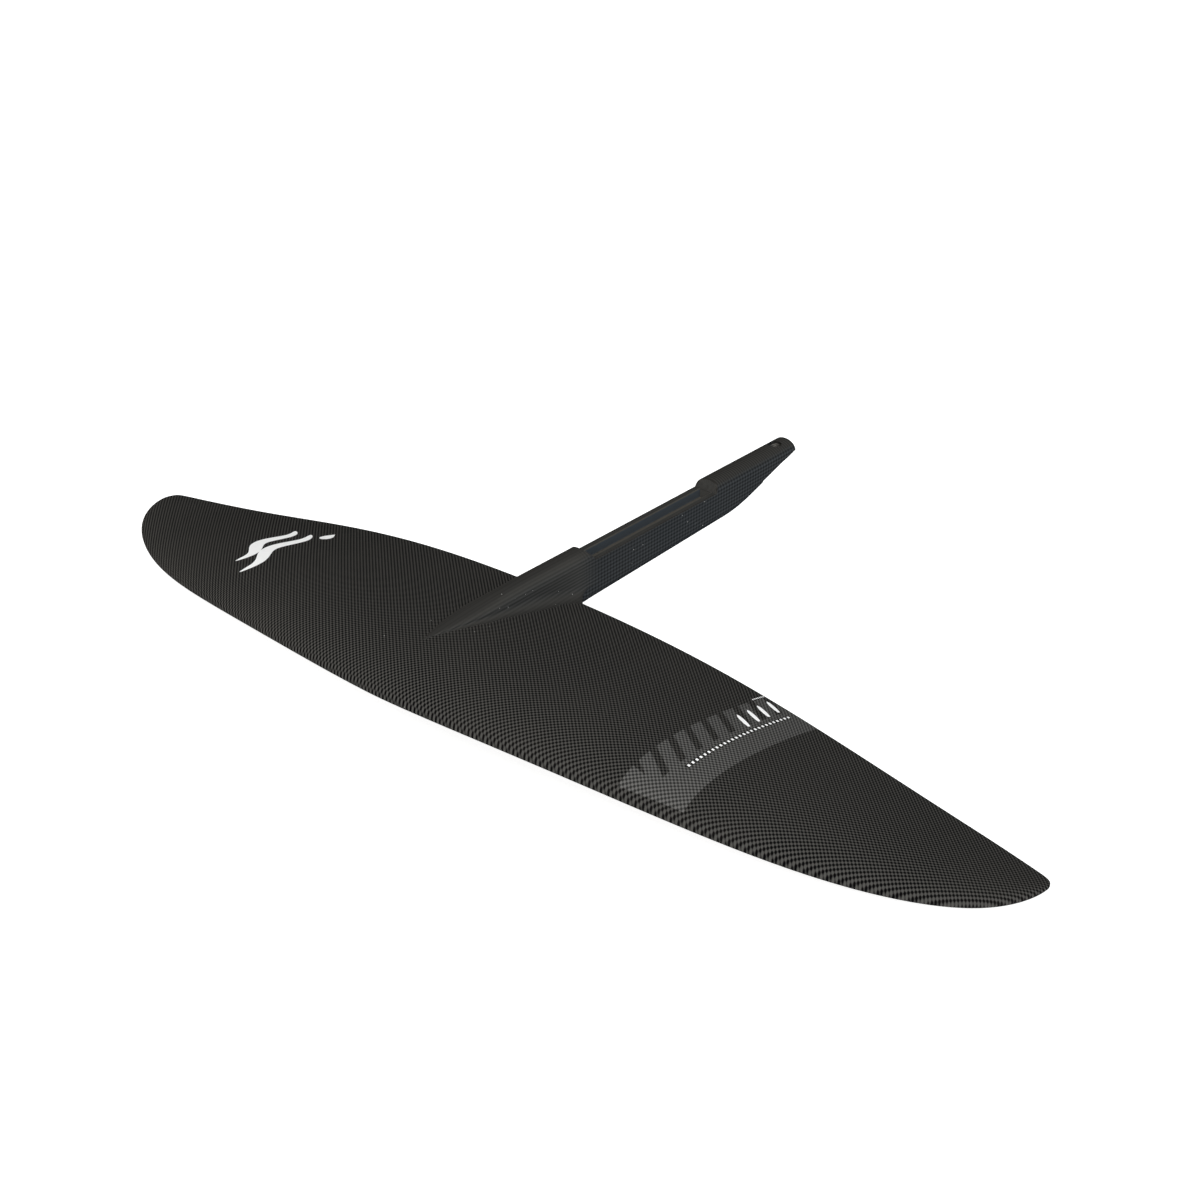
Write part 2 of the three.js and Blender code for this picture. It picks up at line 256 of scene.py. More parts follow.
def prism_across(name, outline, width):
    return loft(name, [[(x, y, z) for y, z in outline] for x in (-width / 2, width / 2)])


def settle(piece):
    bpy.context.view_layer.update()
    seen = piece.evaluated_get(bpy.context.evaluated_depsgraph_get())
    mesh = bpy.data.meshes.new_from_object(seen)
    piece.modifiers.clear()
    piece.data = mesh
    mesh.name = piece.name
    return piece


# Adds, cuts or keeps what two solids share, and uses up the second one.
def combine(piece, other, how):
    step = piece.modifiers.new(how.lower(), "BOOLEAN")
    step.operation, step.solver, step.object = how, "MANIFOLD", other
    settle(piece)
    bpy.data.objects.remove(other)
    return piece


def copied(piece, name):
    twin = piece.copy()
    twin.data = piece.data.copy()
    twin.name = name
    bpy.context.scene.collection.objects.link(twin)
    return twin


def turned(name, profile, sides=round_sides):
    rings = []
    for radius, height in profile:
        spokes = [2 * math.pi * i / sides for i in range(sides)]
        rings.append([(radius * math.cos(a), radius * math.sin(a), height) for a in spokes])
    count = len(rings)
    faces = []
    for row in range(count):
        for i in range(sides):
            a, b = row * sides + i, row * sides + (i + 1) % sides
            c = (row + 1) % count * sides
            faces.append((a, c + i, c + (i + 1) % sides, b))
    return solid(name, [p for ring in rings for p in ring], faces)


def rod(name, width, low, high, sides=round_sides):
    spokes = [2 * math.pi * i / sides for i in range(sides)]
    ring = [(width / 2 * math.cos(a), width / 2 * math.sin(a)) for a in spokes]
    return loft(name, [[(x, y, z) for x, y in ring] for z in (low, high)])


def moved(piece, along=(0, 0, 0), lean=0.0):
    turn = np.array([
        [1, 0, 0],
        [0, math.cos(lean), -math.sin(lean)],
        [0, math.sin(lean), math.cos(lean)],
    ])
    points = np.zeros(len(piece.data.vertices) * 3)
    piece.data.vertices.foreach_get("co", points)
    points = points.reshape(-1, 3) @ turn.T + np.array(along) * mm
    piece.data.vertices.foreach_set("co", points.ravel())
    piece.data.update()
    return piece


chord_grid = [(1 - math.cos(math.pi * i / chord_steps)) / 2 for i in range(chord_steps + 1)]
span_grid = [
    min(tip_end, math.sin(math.pi / 2 * i / span_steps)) * half_span
    for i in range(span_steps + 1)
]


def stations_between(low, high, apart=0.5):
    both = [-x for x in span_grid[:0:-1]] + span_grid
    return [low] + [x for x in both if low + apart < x < high - apart] + [high]


def wing_rings(places, low, high, upper, lower):
    rings = []
    for x in stations_between(low, high, 0.0):
        over = [wing_point(x, s, *upper) for s in places]
        under = [wing_point(x, s, *lower) for s in reversed(places)]
        rings.append(over + [p for p in under if p not in (over[0], over[-1])])
    return rings


nose_step = 0.25
flare_lead = 12
body_step = 6
first_gap = 0.2
last_gap = 0.4


# Rings along the fuselage, close together at the nose and round the end of the fillet.
def body_rings(low, high, inset):
    fine = [nose_start + nose_step * i * i for i in range(1, 24)]
    fine += [root_trail - flare_lead + i for i in range(flare_lead + flare_tail + 3)]
    fine += [root_trail + flare_tail + body_step * i for i in range(1, 51)]
    stations = [low] + sorted(y for y in fine if low + first_gap < y < high - last_gap) + [high]
    rings = []
    for y in stations:
        right = body_section(y, inset)
        left = [(-x, z) for x, z in reversed(right[1:])]
        rings.append([(x, y, z) for x, z in right + left])
    return rings


tip = half_span * tip_end
outside = loft("outside", wing_rings(chord_grid, -tip, tip, (1, 0), (-1, 0)))
combine(outside, loft("body", body_rings(nose_start, tail_end, 0)), "UNION")

seat_length = 147
seat_half = seat_length / 2
seat_level = 7.5
front_rake = 7  # lean of the notch's front wall, from seat to ridge
rear_rake = 4.6
notch_top = 60
cut_width = 4 * body_width


def mast_notch():
    up = (notch_top - seat_level) / (ridge_level - seat_level)
    return prism_across("notch", [
        (-seat_half, seat_level), (seat_half, seat_level),
        (seat_half + rear_rake * up, notch_top), (-seat_half - front_rake * up, notch_top),
    ], cut_width)


stab_seat_start = tail_end - 43
stab_seat_end_level = 8.9
stab_seat_slope = 0.3125
stab_lean = math.atan(stab_seat_slope)
cut_reach = 40


def stab_seat_at(y):
    return stab_seat_end_level - stab_seat_slope * (tail_end - y)


# The room below the stabiliser's seat, made larger all round by the rise.
def stab_recess(rise):
    front = stab_seat_start - rise * math.hypot(1, stab_seat_slope)
    level = stab_seat_at(front) + rise * math.hypot(1, stab_seat_slope)
    rear = tail_end + cut_reach
    return prism_across("recess", [
        (front, level), (front + stab_seat_slope * cut_reach, level - cut_reach),
        (rear, level - cut_reach), (rear, level + stab_seat_slope * (rear - front)),
    ], cut_width)


combine(outside, stab_recess(0), "DIFFERENCE")

void_end = 0.866 * half_span
void_lead = 0.02  # shares of the chord
void_trail = 0.86
void_gap = 0.004
spar_rear = 0.4
bond = 0.3
hollow_places = [s for s in chord_grid if void_lead + void_gap < s < void_trail - void_gap]
hollow_places = [void_lead] + hollow_places + [void_trail]
hollow = loft("hollow", wing_rings(hollow_places, -void_end, void_end, (1, skin), (-1, skin)))
body_void_start = root_lead + root_chord * spar_rear + bond
body_void = loft("body_void", body_rings(body_void_start, tail_end - skin, skin))
combine(hollow, combine(body_void, stab_recess(skin), "DIFFERENCE"), "UNION")
shell = combine(combine(outside, hollow, "DIFFERENCE"), mast_notch(), "DIFFERENCE")

seam = 0.04
joint_rise = 3.2  # the joint passes this much above the stabiliser's seat
joint_ramp = 45
past_tip = 20
far_front, far_rear, far_below = -600, tail_end + 30, -200


# Everything below the joint between the two skins.
def below_joint(offset):
    places = [far_front, stab_seat_start - joint_ramp, stab_seat_start, far_rear]
    rises = [max(0, stab_seat_at(y) + joint_rise - wing_level) for y in places]
    rings = []
    for x in stations_between(-half_span - past_tip, half_span + past_tip, 0.0):
        level = level_at(min(1, abs(x) / half_span)) + offset
        over = [(x, y, level + rise) for y, rise in zip(places, rises)]
        rings.append(over + [(x, far_rear, far_below), (x, far_front, far_below)])
    return loft("below_joint", rings)


# ---------------------------------------------------------------- upper skin
# The upper skin is woven carbon cloth pressed into the upper half of the mould. It covers the
# wing, the fairing and the rear body, and is cut away over the mast's seat and the tail's screw.
screw_width = 6.6
stab_screw_setback = 15
stab_screw = (0, tail_end - stab_screw_setback, ridge_level)
stab_head_width = 11
stab_head_depth = 5
mast_screw_spacing = 84
mast_screws = (-mast_screw_spacing / 2, mast_screw_spacing / 2)
mast_head_width = 12.4
hole_reach = 60
above_ridge = 20


def stab_hole():
    return moved(rod("hole", screw_width, -cut_reach, 0), stab_screw, stab_lean)


upper_skin = copied(shell, "upper_cloth_skin")
combine(upper_skin, below_joint(seam / 2), "DIFFERENCE")
head_hole = rod("head", stab_head_width, -stab_head_depth, above_ridge)
combine(upper_skin, moved(head_hole, stab_screw, stab_lean), "DIFFERENCE")
combine(upper_skin, stab_hole(), "DIFFERENCE")

cloth_slack = 0.05
proud_slack = 0.04
fairing_end = root_trail + 38
fairing_fade = 30
fairing_calm = 0.75  # how much of the upright cloth's look the fairing loses
flank_start, upright_start, under_start = 0.15, 0.55, 0.1
lean_fade = 0.4


# How far a face leans past a start, as a share from 0 to 1.
def leaning(amount, start):
    return smooth((amount - start) / lean_fade)


# Lays the cloth on a skin: across and along the wing in plan, and round the fuselage from its
# ridge. Masks say where the cloth is stretched smooth over the fairing, where it lies on the
# fairing's flanks, and where it covers the fuselage, stands upright or turns under. The flank,
# upright and under masks also place painted light and shade.
def lay_cloth(piece):
    mesh = piece.data
    points = np.zeros(len(mesh.vertices) * 3)
    mesh.vertices.foreach_get("co", points)
    points = points.reshape(-1, 3) / mm
    girths = {}

    def girth(v):
        if v not in girths:
            x, y, z = points[v]
            line = np.array(body_section(min(max(y, nose_start), tail_end)))
            steps = np.diff(line, axis=0)
            lengths = np.hypot(*steps.T)
            starts = np.concatenate([[0], np.cumsum(lengths)])[:-1]
            away = np.array([abs(x), z]) - line[:-1]
            share = np.clip((away * steps).sum(1) / np.maximum(lengths**2, 1e-9), 0, 1)
            gap = np.hypot(*(away - steps * share[:, None]).T)
            near = gap.argmin()
            girths[v] = starts[near] + share[near] * lengths[near]
        return girths[v]

    laid, masks = [], {"drawn": [], "flank": [], "body": [], "upright": [], "under": []}
    for face in mesh.polygons:
        x, y, z = np.array(face.center) / mm
        flare = flare_at(y) if y < root_trail + flare_tail else 0
        beside = abs(x) < half_body + cloth_slack + flare
        u = abs(x) / half_span
        s = clamp01((y - middle_at(u)) / chord_at(u) + 0.5)
        above = z > wing_point(x, s, 1)[2] + proud_slack
        proud = above or z < wing_point(x, s, -1)[2] - proud_slack
        on_body = beside and y > nose_start and (y > root_trail or proud)
        for v in face.vertices:
            px, py, pz = points[v]
            laid += [(girth(v) if on_body else px) * mm, py * mm]
            on_top = on_body and pz > wing_level
            fairing = smooth((fairing_end - py) / fairing_fade) if on_top else 0
            masks["drawn"].append(fairing)
            masks["flank"].append(fairing * leaning(abs(face.normal.x), flank_start))
            masks["body"].append(float(on_body))
            upright = leaning(abs(face.normal.x), upright_start) if on_body else 0
            masks["upright"].append(upright * (1 - fairing_calm * fairing))
            masks["under"].append(leaning(-face.normal.z, under_start) if on_body else 0)
    mesh.uv_layers.new(name="cloth").data.foreach_set("uv", laid)
    for label, values in masks.items():
        mesh.attributes.new(label, "FLOAT", "CORNER").data.foreach_set("value", values)


def smooth_shaded(piece, degrees=32):
    piece.data.polygons.foreach_set("use_smooth", [True] * len(piece.data.polygons))
    piece.data.set_sharp_from_angle(angle=math.radians(degrees))
    piece.data.update()


def mounted(piece, slot, *nodes):
    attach(piece, "root")
    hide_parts(*nodes)


# A node group that takes and gives named values, with the ends of both.
def new_group(name, inputs, outputs):
    tree = bpy.data.node_groups.new(name, "ShaderNodeTree")
    for label, kind, value in inputs:
        socket = tree.interface.new_socket(label, in_out="INPUT", socket_type=kind)
        if value is not None:
            socket.default_value = value
    for label, kind in outputs:
        tree.interface.new_socket(label, in_out="OUTPUT", socket_type=kind)
    return tree, tree.nodes.new("NodeGroupInput").outputs, tree.nodes.new("NodeGroupOutput").inputs


def feed(tree, socket, value):
    if isinstance(value, bpy.types.NodeSocket):
        tree.links.new(value, socket)
    else:
        socket.default_value = value


def maths(tree, how, *values):
    node = tree.nodes.new("ShaderNodeMath")
    node.operation = how
    for socket, value in zip(node.inputs, values):
        feed(tree, socket, value)
    return node.outputs[0]


def ramp(tree, value, low, high, to_low=0.0, to_high=1.0):
    node = tree.nodes.new("ShaderNodeMapRange")
    node.interpolation_type = "SMOOTHSTEP"
    for socket, given in zip(node.inputs, (value, low, high, to_low, to_high)):
        feed(tree, socket, given)
    return node.outputs[0]


def blend_colours(tree, share, first, second, how="MIX"):
    node = tree.nodes.new("ShaderNodeMix")
    node.data_type, node.blend_type = "RGBA", how
    feed(tree, node.inputs["Factor"], share)
    feed(tree, node.inputs["A"], first)
    feed(tree, node.inputs["B"], second)
    return node.outputs["Result"]


def split(tree, vector):
    node = tree.nodes.new("ShaderNodeSeparateXYZ")
    feed(tree, node.inputs[0], vector)
    return node.outputs


def speckle(tree, vector, scale, detail=2.0):
    node = tree.nodes.new("ShaderNodeTexNoise")
    node.inputs["Scale"].default_value = scale
    node.inputs["Detail"].default_value = detail
    feed(tree, node.inputs["Vector"], vector)
    return node.outputs["Fac"]


def placed(tree, group, **values):
    node = tree.nodes.new("ShaderNodeGroup")
    node.node_tree = group
    for label, value in values.items():
        feed(tree, node.inputs[label.replace("_", " ")], value)
    return node.outputs


weave, given, out = new_group(
    "plain_weave",
    [("Cloth", "NodeSocketVector", None), ("Warp Width", "NodeSocketFloat", 1.2),
     ("Weft Width", "NodeSocketFloat", 1.1), ("Drawn", "NodeSocketFloat", 0.0),
     ("Body", "NodeSocketFloat", 0.0), ("Upright", "NodeSocketFloat", 0.0)],
    [("Bright", "NodeSocketFloat"), ("Height", "NodeSocketFloat")],
)


# A wave across the cloth, where each tow is half a wave wide.
def tows(place, width):
    turns = maths(weave, "DIVIDE", maths(weave, "DIVIDE", place, width), mm / math.pi)
    return maths(weave, "SINE", turns)


# Moves from one value to another as the share goes from 0 to 1.
def shift(tree, share, first, second):
    return maths(tree, "MULTIPLY_ADD", maths(tree, "SUBTRACT", second, first), share, first)


# Over the fuselage the cloth is pulled tight: ribs run round its top, rows and dots lie along
# its sides, and only faint lines are left on the fairing. Widths are in millimetres.
rib_width, rib_depth = 1.35, 0.13
row_width, row_depth = 1.55, 0.16
dot_width, dot_depth = 1.75, 0.13
line_width, line_depth, least_line_depth = 1.3, 0.28, 0.04
darkest, brightest = -0.6, 0.7

at = split(weave, given["Cloth"])
across, along = tows(at[0], given["Warp Width"]), tows(at[1], given["Weft Width"])
checks = maths(weave, "MULTIPLY", across, along)
ribs = maths(weave, "MULTIPLY", tows(at[1], rib_width), rib_depth)
dots = maths(weave, "MULTIPLY", tows(at[1], dot_width), dot_depth)
rows = maths(weave, "MULTIPLY_ADD", tows(at[0], row_width), row_depth, dots)
checks = shift(weave, given["Body"], checks, shift(weave, given["Upright"], ribs, rows))
depth = maths(weave, "MULTIPLY_ADD", given["Upright"], line_depth, least_line_depth)
lines = maths(weave, "MULTIPLY", tows(at[0], line_width), depth)
cells = shift(weave, given["Drawn"], checks, lines)
weave.links.new(ramp(weave, cells, darkest, brightest), out["Bright"])
weave.links.new(cells, out["Height"])

dust, given, out = new_group(
    "dust_specks",
    [("Place", "NodeSocketVector", None), ("Spacing", "NodeSocketFloat", 9.0),
     ("Size", "NodeSocketFloat", 0.3), ("Share", "NodeSocketFloat", 0.05)],
    [("Speck", "NodeSocketFloat")],
)
spread = dust.nodes.new("ShaderNodeTexVoronoi")
spread.inputs["Randomness"].default_value = 1.0
feed(dust, spread.inputs["Vector"], given["Place"])
feed(dust, spread.inputs["Scale"], maths(dust, "DIVIDE", 1 / mm, given["Spacing"]))
away = maths(dust, "MULTIPLY", spread.outputs["Distance"], given["Spacing"])
near = maths(dust, "LESS_THAN", away, given["Size"])
chosen = maths(dust, "LESS_THAN", split(dust, spread.outputs["Color"])[0], given["Share"])
dust.links.new(maths(dust, "MULTIPLY", near, chosen), out["Speck"])

carbon_dark = (0.0012, 0.0013, 0.0015, 1)
carbon_bright = (0.058, 0.0565, 0.053, 1)
# Painted light: a cool painted light on the fuselage's upright sides, the fairing's flanks painted
# lighter and painted shade on the fuselage's underside.
upright_painted_cool_light = (0.85, 0.95, 1.08, 1)
flank_painted_light = (1.4, 1.4, 1.38, 1)
under_painted_shade = (0.5, 0.55, 0.6, 1)
washed_dark = (0.02, 0.02, 0.0195, 1)
washed_bright = (0.108, 0.106, 0.102, 1)
cloudy = (0.06, 0.055, 0.048, 1)
dust_colour = (0.36, 0.36, 0.345, 1)

# The pale printed band: where it lies along the span, its slanted front, the slanted bars and
# the line left clear for the dashes. Places are in metres.
print_start, print_end, print_edge = 0.1945, 0.2385, 0.0003
front_slope, front_level, front_edge = 0.30, -0.3243, 0.0004
bar_slant, bar_pitch, bar_share, bar_edge = 0.55, 0.0178, 0.36, 0.02
bar_end, bar_end_edge = 0.2145, 0.0004
bar_front, bar_front_edge = -0.2505, 0.0005
dash_line, dash_half, dash_edge = 0.2203, 0.0016, 0.0002
dash_front, dash_rear = -0.2270, -0.1120
dust_reach, dust_edge = 0.026, 0.004


# A finish starts from one Principled shader, with its plain values set on the shader itself.
def new_finish(name, **plain):
    finish = bpy.data.materials.new(name)
    finish.use_nodes = True
    tree = finish.node_tree
    shader = tree.nodes["Principled BSDF"]
    for label, value in plain.items():
        shader.inputs[label.replace("_", " ")].default_value = value
    return finish, tree, shader


def roughened(tree, shader, height, depth, strength=1.0):
    bump = tree.nodes.new("ShaderNodeBump")
    bump.inputs["Distance"].default_value = depth
    bump.inputs["Strength"].default_value = strength
    feed(tree, bump.inputs["Height"], height)
    tree.links.new(bump.outputs["Normal"], shader.inputs["Normal"])


def coloured(tree, shader, share, first, second):
    tree.links.new(blend_colours(tree, share, first, second), shader.inputs["Base Color"])


def dulled(tree, shader, value, smoothest, roughest, low=0.3, high=0.7):
    dull = ramp(tree, value, low, high, smoothest, roughest)
    tree.links.new(dull, shader.inputs["Roughness"])


def object_place(tree):
    return tree.nodes.new("ShaderNodeTexCoord").outputs["Object"]


def product(tree, *values):
    result = values[0]
    for value in values[1:]:
        result = maths(tree, "MULTIPLY", result, value)
    return result


def past(tree, value, start, edge):
    return ramp(tree, value, start, start + edge)


def before(tree, value, end, edge):
    return ramp(tree, value, end, end + edge, 1.0, 0.0)


# Where the pale band is printed: its outline less the bars and the line of dashes.
def band(tree, place):
    x, y, _ = split(tree, place)
    front = maths(tree, "MULTIPLY_ADD", x, front_slope, front_level)
    outline = product(tree, past(tree, x, print_start, print_edge),
                      before(tree, x, print_end, print_edge),
                      past(tree, maths(tree, "SUBTRACT", y, front), 0, front_edge))
    slant = maths(tree, "MULTIPLY_ADD", x, bar_slant, y)
    beat = maths(tree, "FRACT", maths(tree, "DIVIDE", maths(tree, "ADD", slant, 0.5), bar_pitch))
    bars = product(tree, past(tree, beat, 0.0, bar_edge), before(tree, beat, bar_share, bar_edge),
                   before(tree, x, bar_end, bar_end_edge), past(tree, y, bar_front, bar_front_edge))
    beside = maths(tree, "ABSOLUTE", maths(tree, "SUBTRACT", x, dash_line))
    line = product(tree, before(tree, beside, dash_half, dash_edge),
                   past(tree, y, dash_front, print_edge), before(tree, y, dash_rear, print_edge))
    clear = maths(tree, "SUBTRACT", 1.0, maths(tree, "MAXIMUM", bars, line))
    return product(tree, outline, clear)


def cloth_finish(name, printed):
    finish, tree, shader = new_finish(name, Specular_IOR_Level=0.0)
    cloth = tree.nodes.new("ShaderNodeUVMap")
    cloth.uv_map = "cloth"

    def read(label):
        node = tree.nodes.new("ShaderNodeAttribute")
        node.attribute_name = label
        return node.outputs["Fac"]

    place = object_place(tree)
    pattern = placed(tree, weave, Cloth=cloth.outputs[0], Warp_Width=1.72, Weft_Width=1.6,
                     Drawn=read("drawn"), Body=read("body"), Upright=read("upright"))
    colour = blend_colours(tree, pattern["Bright"], carbon_dark, carbon_bright)
    # Painted light and shade: the upright sides cooler, the flanks lighter and the underside
    # darker.
    for label, painted_light in (("upright", upright_painted_cool_light), ("flank", flank_painted_light), ("under", under_painted_shade)):
        colour = blend_colours(tree, read(label), colour, painted_light, "MULTIPLY")
    if printed:
        washed = blend_colours(tree, pattern["Bright"], washed_dark, washed_bright)
        colour = blend_colours(tree, band(tree, place), colour, washed)
    cloud = speckle(tree, place, 9.0)
    colour = blend_colours(tree, ramp(tree, cloud, 0.35, 0.7, 0.0, 0.05), colour, cloudy)
    speck = placed(tree, dust, Place=place, Spacing=9.0, Size=0.34, Share=0.6)["Speck"]
    from_middle = maths(tree, "ABSOLUTE", split(tree, place)[0])
    on_body = before(tree, from_middle, dust_reach, dust_edge)
    coloured(tree, shader, product(tree, speck, on_body), colour, dust_colour)
    dulled(tree, shader, cloud, 0.42, 0.52)
    roughened(tree, shader, pattern["Height"], 0.00005, 0.6)
    return finish


lay_cloth(upper_skin)
smooth_shaded(upper_skin)
upper_skin.data.materials.clear()
upper_skin.data.materials.append(cloth_finish("woven_carbon_printed", True))
mounted(upper_skin, "carbon_skin", "upper_skin")

# ---------------------------------------------------------------- lower skin
# The lower skin is the same cloth laid in the other half of the mould. It meets the upper one
# at both edges of the wing and along the fuselage, and has the holes for the mast screws.
lower_skin = combine(shell, below_joint(-seam / 2), "INTERSECT")
lower_skin.name = "lower_cloth_skin"
combine(lower_skin, stab_hole(), "DIFFERENCE")
for y in mast_screws:
    hole = rod("hole", mast_head_width, -hole_reach, 0)
    combine(lower_skin, moved(hole, (0, y, 0)), "DIFFERENCE")
lay_cloth(lower_skin)
smooth_shaded(lower_skin)
lower_skin.data.materials.clear()
lower_skin.data.materials.append(cloth_finish("woven_carbon", False))
mounted(lower_skin, "carbon_skin", "lower_skin")

# ---------------------------------------------------------------- mast socket
# The socket is a solid block of carbon laminate between the skins, milled after moulding. Its
# two rails lie flush with the cut edges of the skins, and the slot between them takes the mast.
socket_front = -seat_half - 17.5
socket_rear = seat_half + 16.5
slot_width = 11
slot_half = slot_width / 2
slot_chamfer = 0.45
slot_wide = slot_half + 2 * slot_chamfer
slot_end_gap = 0.6
floor_corner = 0.5
bush_width = 14
slot_floor = 4

socket = loft("laminate_mast_socket", body_rings(socket_front, socket_rear, skin + seam))
combine(socket, mast_notch(), "DIFFERENCE")
slot_right = [
    (slot_half - floor_corner, 0), (slot_half, floor_corner),
    (slot_half, seat_level - slot_chamfer),
    (slot_wide, seat_level + slot_chamfer), (slot_wide, above_ridge),
]
slot_outline = [(-slot_half + floor_corner, 0)] + slot_right
slot_outline += [(-x, z) for x, z in reversed(slot_right[1:])]
slot_ends = (-seat_half + slot_end_gap, seat_half - slot_end_gap)
slot_cut = loft("slot", [[(x, y, z) for x, z in slot_outline] for y in slot_ends])
combine(socket, slot_cut, "DIFFERENCE")
for y in mast_screws:
    for width, high in ((bush_width + 2 * seam, -slot_floor), (screw_width, above_ridge)):
        combine(socket, moved(rod("hole", width, -hole_reach, high), (0, y, 0)), "DIFFERENCE")
smooth_shaded(socket)

laminate, tree, shader = new_finish("milled_laminate", Specular_IOR_Level=0.04)
place = object_place(tree)


# Object places drawn out along one axis, for grain, fibres and strands.
def stretched(tree, scale):
    node = tree.nodes.new("ShaderNodeMapping")
    node.inputs["Scale"].default_value = scale
    tree.links.new(object_place(tree), node.inputs["Vector"])
    return node.outputs[0]


# A fine ripple up an axis, with a full turn in each pitch.
def ripple(tree, height, pitch):
    return maths(tree, "SINE", maths(tree, "MULTIPLY", height, 2 * math.pi / pitch))


# The slot's walls are cut across the plies and carry a cool painted light, and its floor and
# the broken edges of the rails carry a painted highlight. These are places in metres, each as
# (where it ends, where it is full).
slot_beside, slot_below = (0.0056, 0.00555), (0.0071, 0.00705)
wall_beside, bed_below = (0.0054, 0.00545), (0.0003, 0.0002)
edge_inner, edge_outer = (0.00545, 0.0055), (0.0063, 0.0062)
edge_lower, edge_upper = (0.0069, 0.007), (0.0076, 0.00755)
beside, _, level = split(tree, place)
beside = maths(tree, "ABSOLUTE", beside)
inside = product(tree, ramp(tree, beside, *slot_beside), ramp(tree, level, *slot_below))
walls = product(tree, inside, ramp(tree, beside, *wall_beside))
highlit_bed = product(tree, inside, ramp(tree, level, *bed_below))
highlit_edges = product(tree, ramp(tree, beside, *edge_inner), ramp(tree, beside, *edge_outer),
                ramp(tree, level, *edge_lower), ramp(tree, level, *edge_upper))

ply_pitch = 0.00028
milled_dark, milled_pale = (0.026, 0.0257, 0.0243, 1), (0.036, 0.0356, 0.0337, 1)
slot_end_colour, wall_painted_cool_light = (0.045, 0.0445, 0.042, 1), (0.051, 0.059, 0.067, 1)
painted_highlight_colour = (0.057, 0.0535, 0.047, 1)
marks = speckle(tree, stretched(tree, (900, 60, 900)), 1.0, 3.0)
tone = maths(tree, "MULTIPLY_ADD", ripple(tree, level, ply_pitch), 0.08, marks)
colour = blend_colours(tree, ramp(tree, tone, 0.3, 0.7), milled_dark, milled_pale)
colour = blend_colours(tree, inside, colour, slot_end_colour)
# Painted light: cool on the slot's walls, a painted highlight on its floor and the rails' edges.
colour = blend_colours(tree, walls, colour, wall_painted_cool_light)
coloured(tree, shader, maths(tree, "MAXIMUM", highlit_edges, highlit_bed), colour, painted_highlight_colour)
dulled(tree, shader, marks, 0.44, 0.58)
roughened(tree, shader, marks, 0.00003)
socket.data.materials.clear()
socket.data.materials.append(laminate)
mounted(socket, "solid_laminate", "mast_socket")

# ---------------------------------------------------------------- screw bushes
# Turned steel sleeves keep the screws from crushing the laminate. Two are let in from below for
# the mast and are countersunk; the third sits in the tail and takes the stabiliser's screw.
edge_break = 0.3
turning_pitch = 0.00022
steel_dark, steel_pale = (0.07, 0.068, 0.064, 1), (0.13, 0.125, 0.117, 1)
bush_finish, tree, shader = new_finish("turned_steel", Metallic=1.0)
place = object_place(tree)
rings = ripple(tree, split(tree, place)[2], turning_pitch)
scuffs = speckle(tree, place, 700.0, 3.0)
coloured(tree, shader, scuffs, steel_dark, steel_pale)
dulled(tree, shader, scuffs, 0.45, 0.6)
roughened(tree, shader, maths(tree, "MULTIPLY_ADD", rings, 0.4, scuffs), 0.00001)


def mast_bush(number, y):
    outer, bore, head = bush_width / 2, screw_width / 2, mast_head_width / 2
    inner = skin + bond
    corner = keel_radius - inner
    reach = outer - (half_body - keel_radius)
    base = keel_at(y + outer) + inner + bond + corner - math.sqrt(corner**2 - reach**2)
    top = -slot_floor - seam
    bush = moved(turned(f"mast_bush_{number}", [
        (head, base), (outer - edge_break, base), (outer, base + edge_break), (outer, top),
        (bore + edge_break, top), (bore, top - edge_break), (bore, base + head - bore),
    ]), (0, y, 0))
    smooth_shaded(bush)
    bush.data.materials.append(bush_finish)
    mounted(bush, "bush_steel", f"mast_screw_bush_{number}")


for number, y in enumerate(mast_screws, 1):
    mast_bush(number, y)

head, bore = stab_head_width / 2, screw_width / 2
bush_low, bush_high = -30, 10
room_lead = 13
tail_bush = moved(turned("stabiliser_bush", [
    (bore, bush_low), (bush_width / 2, bush_low), (bush_width / 2, bush_high), (head, bush_high),
    (head, -stab_head_depth + edge_break), (head - edge_break, -stab_head_depth),
    (bore + edge_break, -stab_head_depth), (bore, -stab_head_depth - edge_break),
]), stab_screw, stab_lean)
room_rings = body_rings(stab_seat_start - room_lead, tail_end - skin - bond, skin + seam)
room = loft("room", room_rings)
combine(tail_bush, combine(room, stab_recess(skin + seam), "DIFFERENCE"), "INTERSECT")
smooth_shaded(tail_bush)
tail_bush.data.materials.clear()
tail_bush.data.materials.append(bush_finish)
mounted(tail_bush, "bush_steel", "stabiliser_screw_bush")

# ---------------------------------------------------------------- spar caps
# Two flat carbon tapes run from tip to tip above and below the spar's foam and carry the
# bending. All their fibres lie along the span.
tape, tree, shader = new_finish("carbon_tape", Specular_IOR_Level=0.3)
strands = speckle(tree, stretched(tree, (12, 1800, 1800)), 1.0, 3.0)
coloured(tree, shader, strands, (0.012, 0.012, 0.013, 1), (0.04, 0.04, 0.041, 1))
dulled(tree, shader, strands, 0.35, 0.5)
roughened(tree, shader, strands, 0.00003)


def refinished(finish, *names):
    for name in names:
        node = frame["nodes"][name]
        if not node.material_slots:
            node.data.materials.append(finish)
        for place in node.material_slots:
            place.material = finish


refinished(tape, "spar_cap_upper", "spar_cap_lower")

